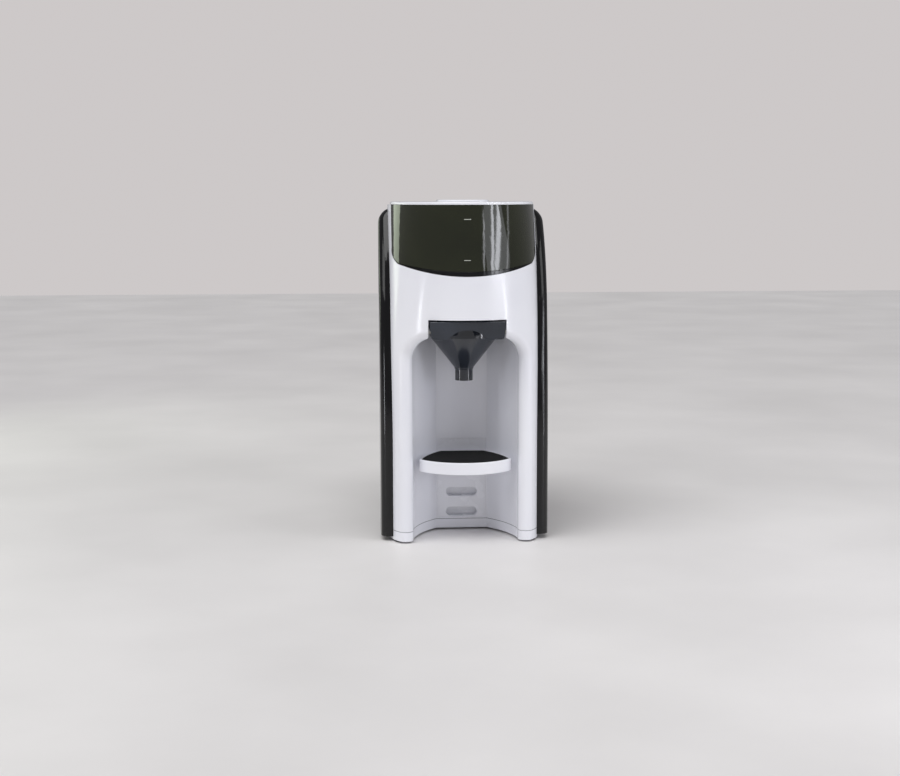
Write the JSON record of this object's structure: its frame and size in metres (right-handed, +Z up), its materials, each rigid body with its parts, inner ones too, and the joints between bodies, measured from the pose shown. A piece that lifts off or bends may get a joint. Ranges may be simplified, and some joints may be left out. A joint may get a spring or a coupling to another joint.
{
  "type": "baby formula maker",
  "caption": "Countertop formula maker: arched bottle bay with tray and slide-out funnel under a smoked powder hopper, bowed dark sides, lift-off rear water tank.",
  "frame": {"origin": "middle of the footprint, on the counter", "axes": "+Z up, -Y the front with the bottle bay, +X the user's right"},
  "size_m": [0.177, 0.305, 0.356],
  "materials": {
    "white": "gloss cool white",
    "bay_rail": "satin cool white",
    "black": "piano black gloss",
    "strip": "black gloss",
    "smoke": "smoked translucent gloss",
    "tank_smoke": "smoked translucent gloss",
    "funnel_charcoal": "charcoal translucent gloss",
    "funnel_cover": "charcoal satin",
    "mat": "matt black rubber",
    "foot": "matt rubber",
    "clear_tub": "smoked translucent",
    "inner_white": "natural satin",
    "inner_grey": "moulded grey",
    "seal": "silicone",
    "hose": "translucent silicone",
    "steel": "plated steel",
    "brass": "machined",
    "heater": "cast aluminium",
    "pump": "moulded black",
    "board": "green circuit board",
    "panel": "black gloss",
    "display": "dark display window",
    "button": "satin light grey"
  },
  "bodies": {
    "housing": {"base_plate": "white", "base_screws": "steel", "rubber_feet": "foot", "front_shell": "white", "trim_strip": "strip", "tray_rail": "bay_rail", "left_side_panel": "black", "right_side_panel": "black", "top_deck": "black", "rear_cover": "black", "tank_shelf": "inner_grey", "rear_bulkhead": "inner_grey", "chassis_frame": "inner_grey", "dosing_deck": "inner_white", "powder_chute": "inner_white", "funnel_guides": "inner_white", "dosing_motor": "steel", "tank_dock": "inner_white", "dock_seal": "seal", "water_pump": "pump", "water_heater": "heater", "water_nozzle": "inner_white", "inlet_hose": "hose", "feed_hose": "hose", "outlet_hose": "hose", "main_board": "board", "power_board": "board", "power_inlet": "pump", "control_bezel": "panel", "display_window": "display", "display_board": "board"},
    "hopper": {"powder_hopper": "clear_tub", "smoked_window": "smoke", "wiper_cover": "inner_white"},
    "lid": {"hopper_lid": "white", "lid_seal": "seal"},
    "agitator": {"dosing_wheel": "inner_white", "stirrer_arms": "inner_white"},
    "drive": {"drive_gear": "inner_white"},
    "pinion": {"motor_pinion": "brass"},
    "funnel_unit": {"funnel": "funnel_charcoal", "funnel_cover": "funnel_cover"},
    "tray": {"bottle_tray": "white", "tray_mat": "mat"},
    "tank": {"water_tank": "tank_smoke", "valve_spring": "steel"},
    "tank_cap": {"tank_lid": "black"},
    "valve": {"valve_stem": "pump"},
    "power_key": {"power_button": "button"},
    "temperature_key": {"temperature_button": "button"},
    "strength_key": {"strength_button": "button"},
    "volume_key": {"volume_button": "button"},
    "start_key": {"start_button": "button"}
  },
  "joints": [
    {"name": "hopper_lift", "type": "slide", "parent": "housing", "child": "hopper", "axis": [0, 0, 1], "range_m": [0, 0.11]},
    {"name": "lid_lift", "type": "slide", "parent": "hopper", "child": "lid", "axis": [0, 0, 1], "range_m": [0, 0.05]},
    {"name": "drive_spin", "type": "hinge", "parent": "housing", "child": "drive", "pos_m": [0, -0.0605, 0.265], "axis": [0, 0, 1], "continuous": true},
    {"name": "agitator_spin", "type": "hinge", "parent": "hopper", "child": "agitator", "pos_m": [0, -0.0605, 0.279], "axis": [0, 0, 1], "continuous": true},
    {"name": "pinion_spin", "type": "hinge", "parent": "housing", "child": "pinion", "pos_m": [0, -0.03438, 0.265], "axis": [0, 0, 1], "continuous": true},
    {"name": "funnel_slide", "type": "slide", "parent": "housing", "child": "funnel_unit", "axis": [0, -1, 0], "range_m": [0, 0.1]},
    {"name": "tray_slide", "type": "slide", "parent": "housing", "child": "tray", "axis": [0, -1, 0], "range_m": [0, 0.1]},
    {"name": "tank_lift", "type": "slide", "parent": "housing", "child": "tank", "axis": [0, 0, 1], "range_m": [0, 0.15]},
    {"name": "tank_lid_lift", "type": "slide", "parent": "tank", "child": "tank_cap", "axis": [0, 0, 1], "range_m": [0, 0.05]},
    {"name": "tank_valve_travel", "type": "slide", "parent": "tank", "child": "valve", "axis": [0, 0, 1], "range_m": [0, 0.003], "stiffness_N_per_m": 150, "springref_m": -0.003, "deforming": ["valve_spring"]},
    {"name": "power_press", "type": "slide", "parent": "housing", "child": "power_key", "axis": [-1, 0, 0], "range_m": [0, 0.001], "stiffness_N_per_m": 400, "springref_m": -0.001},
    {"name": "temperature_press", "type": "slide", "parent": "housing", "child": "temperature_key", "axis": [-1, 0, 0], "range_m": [0, 0.001], "stiffness_N_per_m": 400, "springref_m": -0.001},
    {"name": "strength_press", "type": "slide", "parent": "housing", "child": "strength_key", "axis": [-1, 0, 0], "range_m": [0, 0.001], "stiffness_N_per_m": 400, "springref_m": -0.001},
    {"name": "volume_press", "type": "slide", "parent": "housing", "child": "volume_key", "axis": [-1, 0, 0], "range_m": [0, 0.001], "stiffness_N_per_m": 400, "springref_m": -0.001},
    {"name": "start_press", "type": "slide", "parent": "housing", "child": "start_key", "axis": [-1, 0, 0], "range_m": [0, 0.001], "stiffness_N_per_m": 400, "springref_m": -0.001}
  ],
  "couplings": [
    {"joint": "agitator_spin", "follows": "drive_spin", "ratio": 1},
    {"joint": "pinion_spin", "follows": "drive_spin", "ratio": -2.7143}
  ]
}
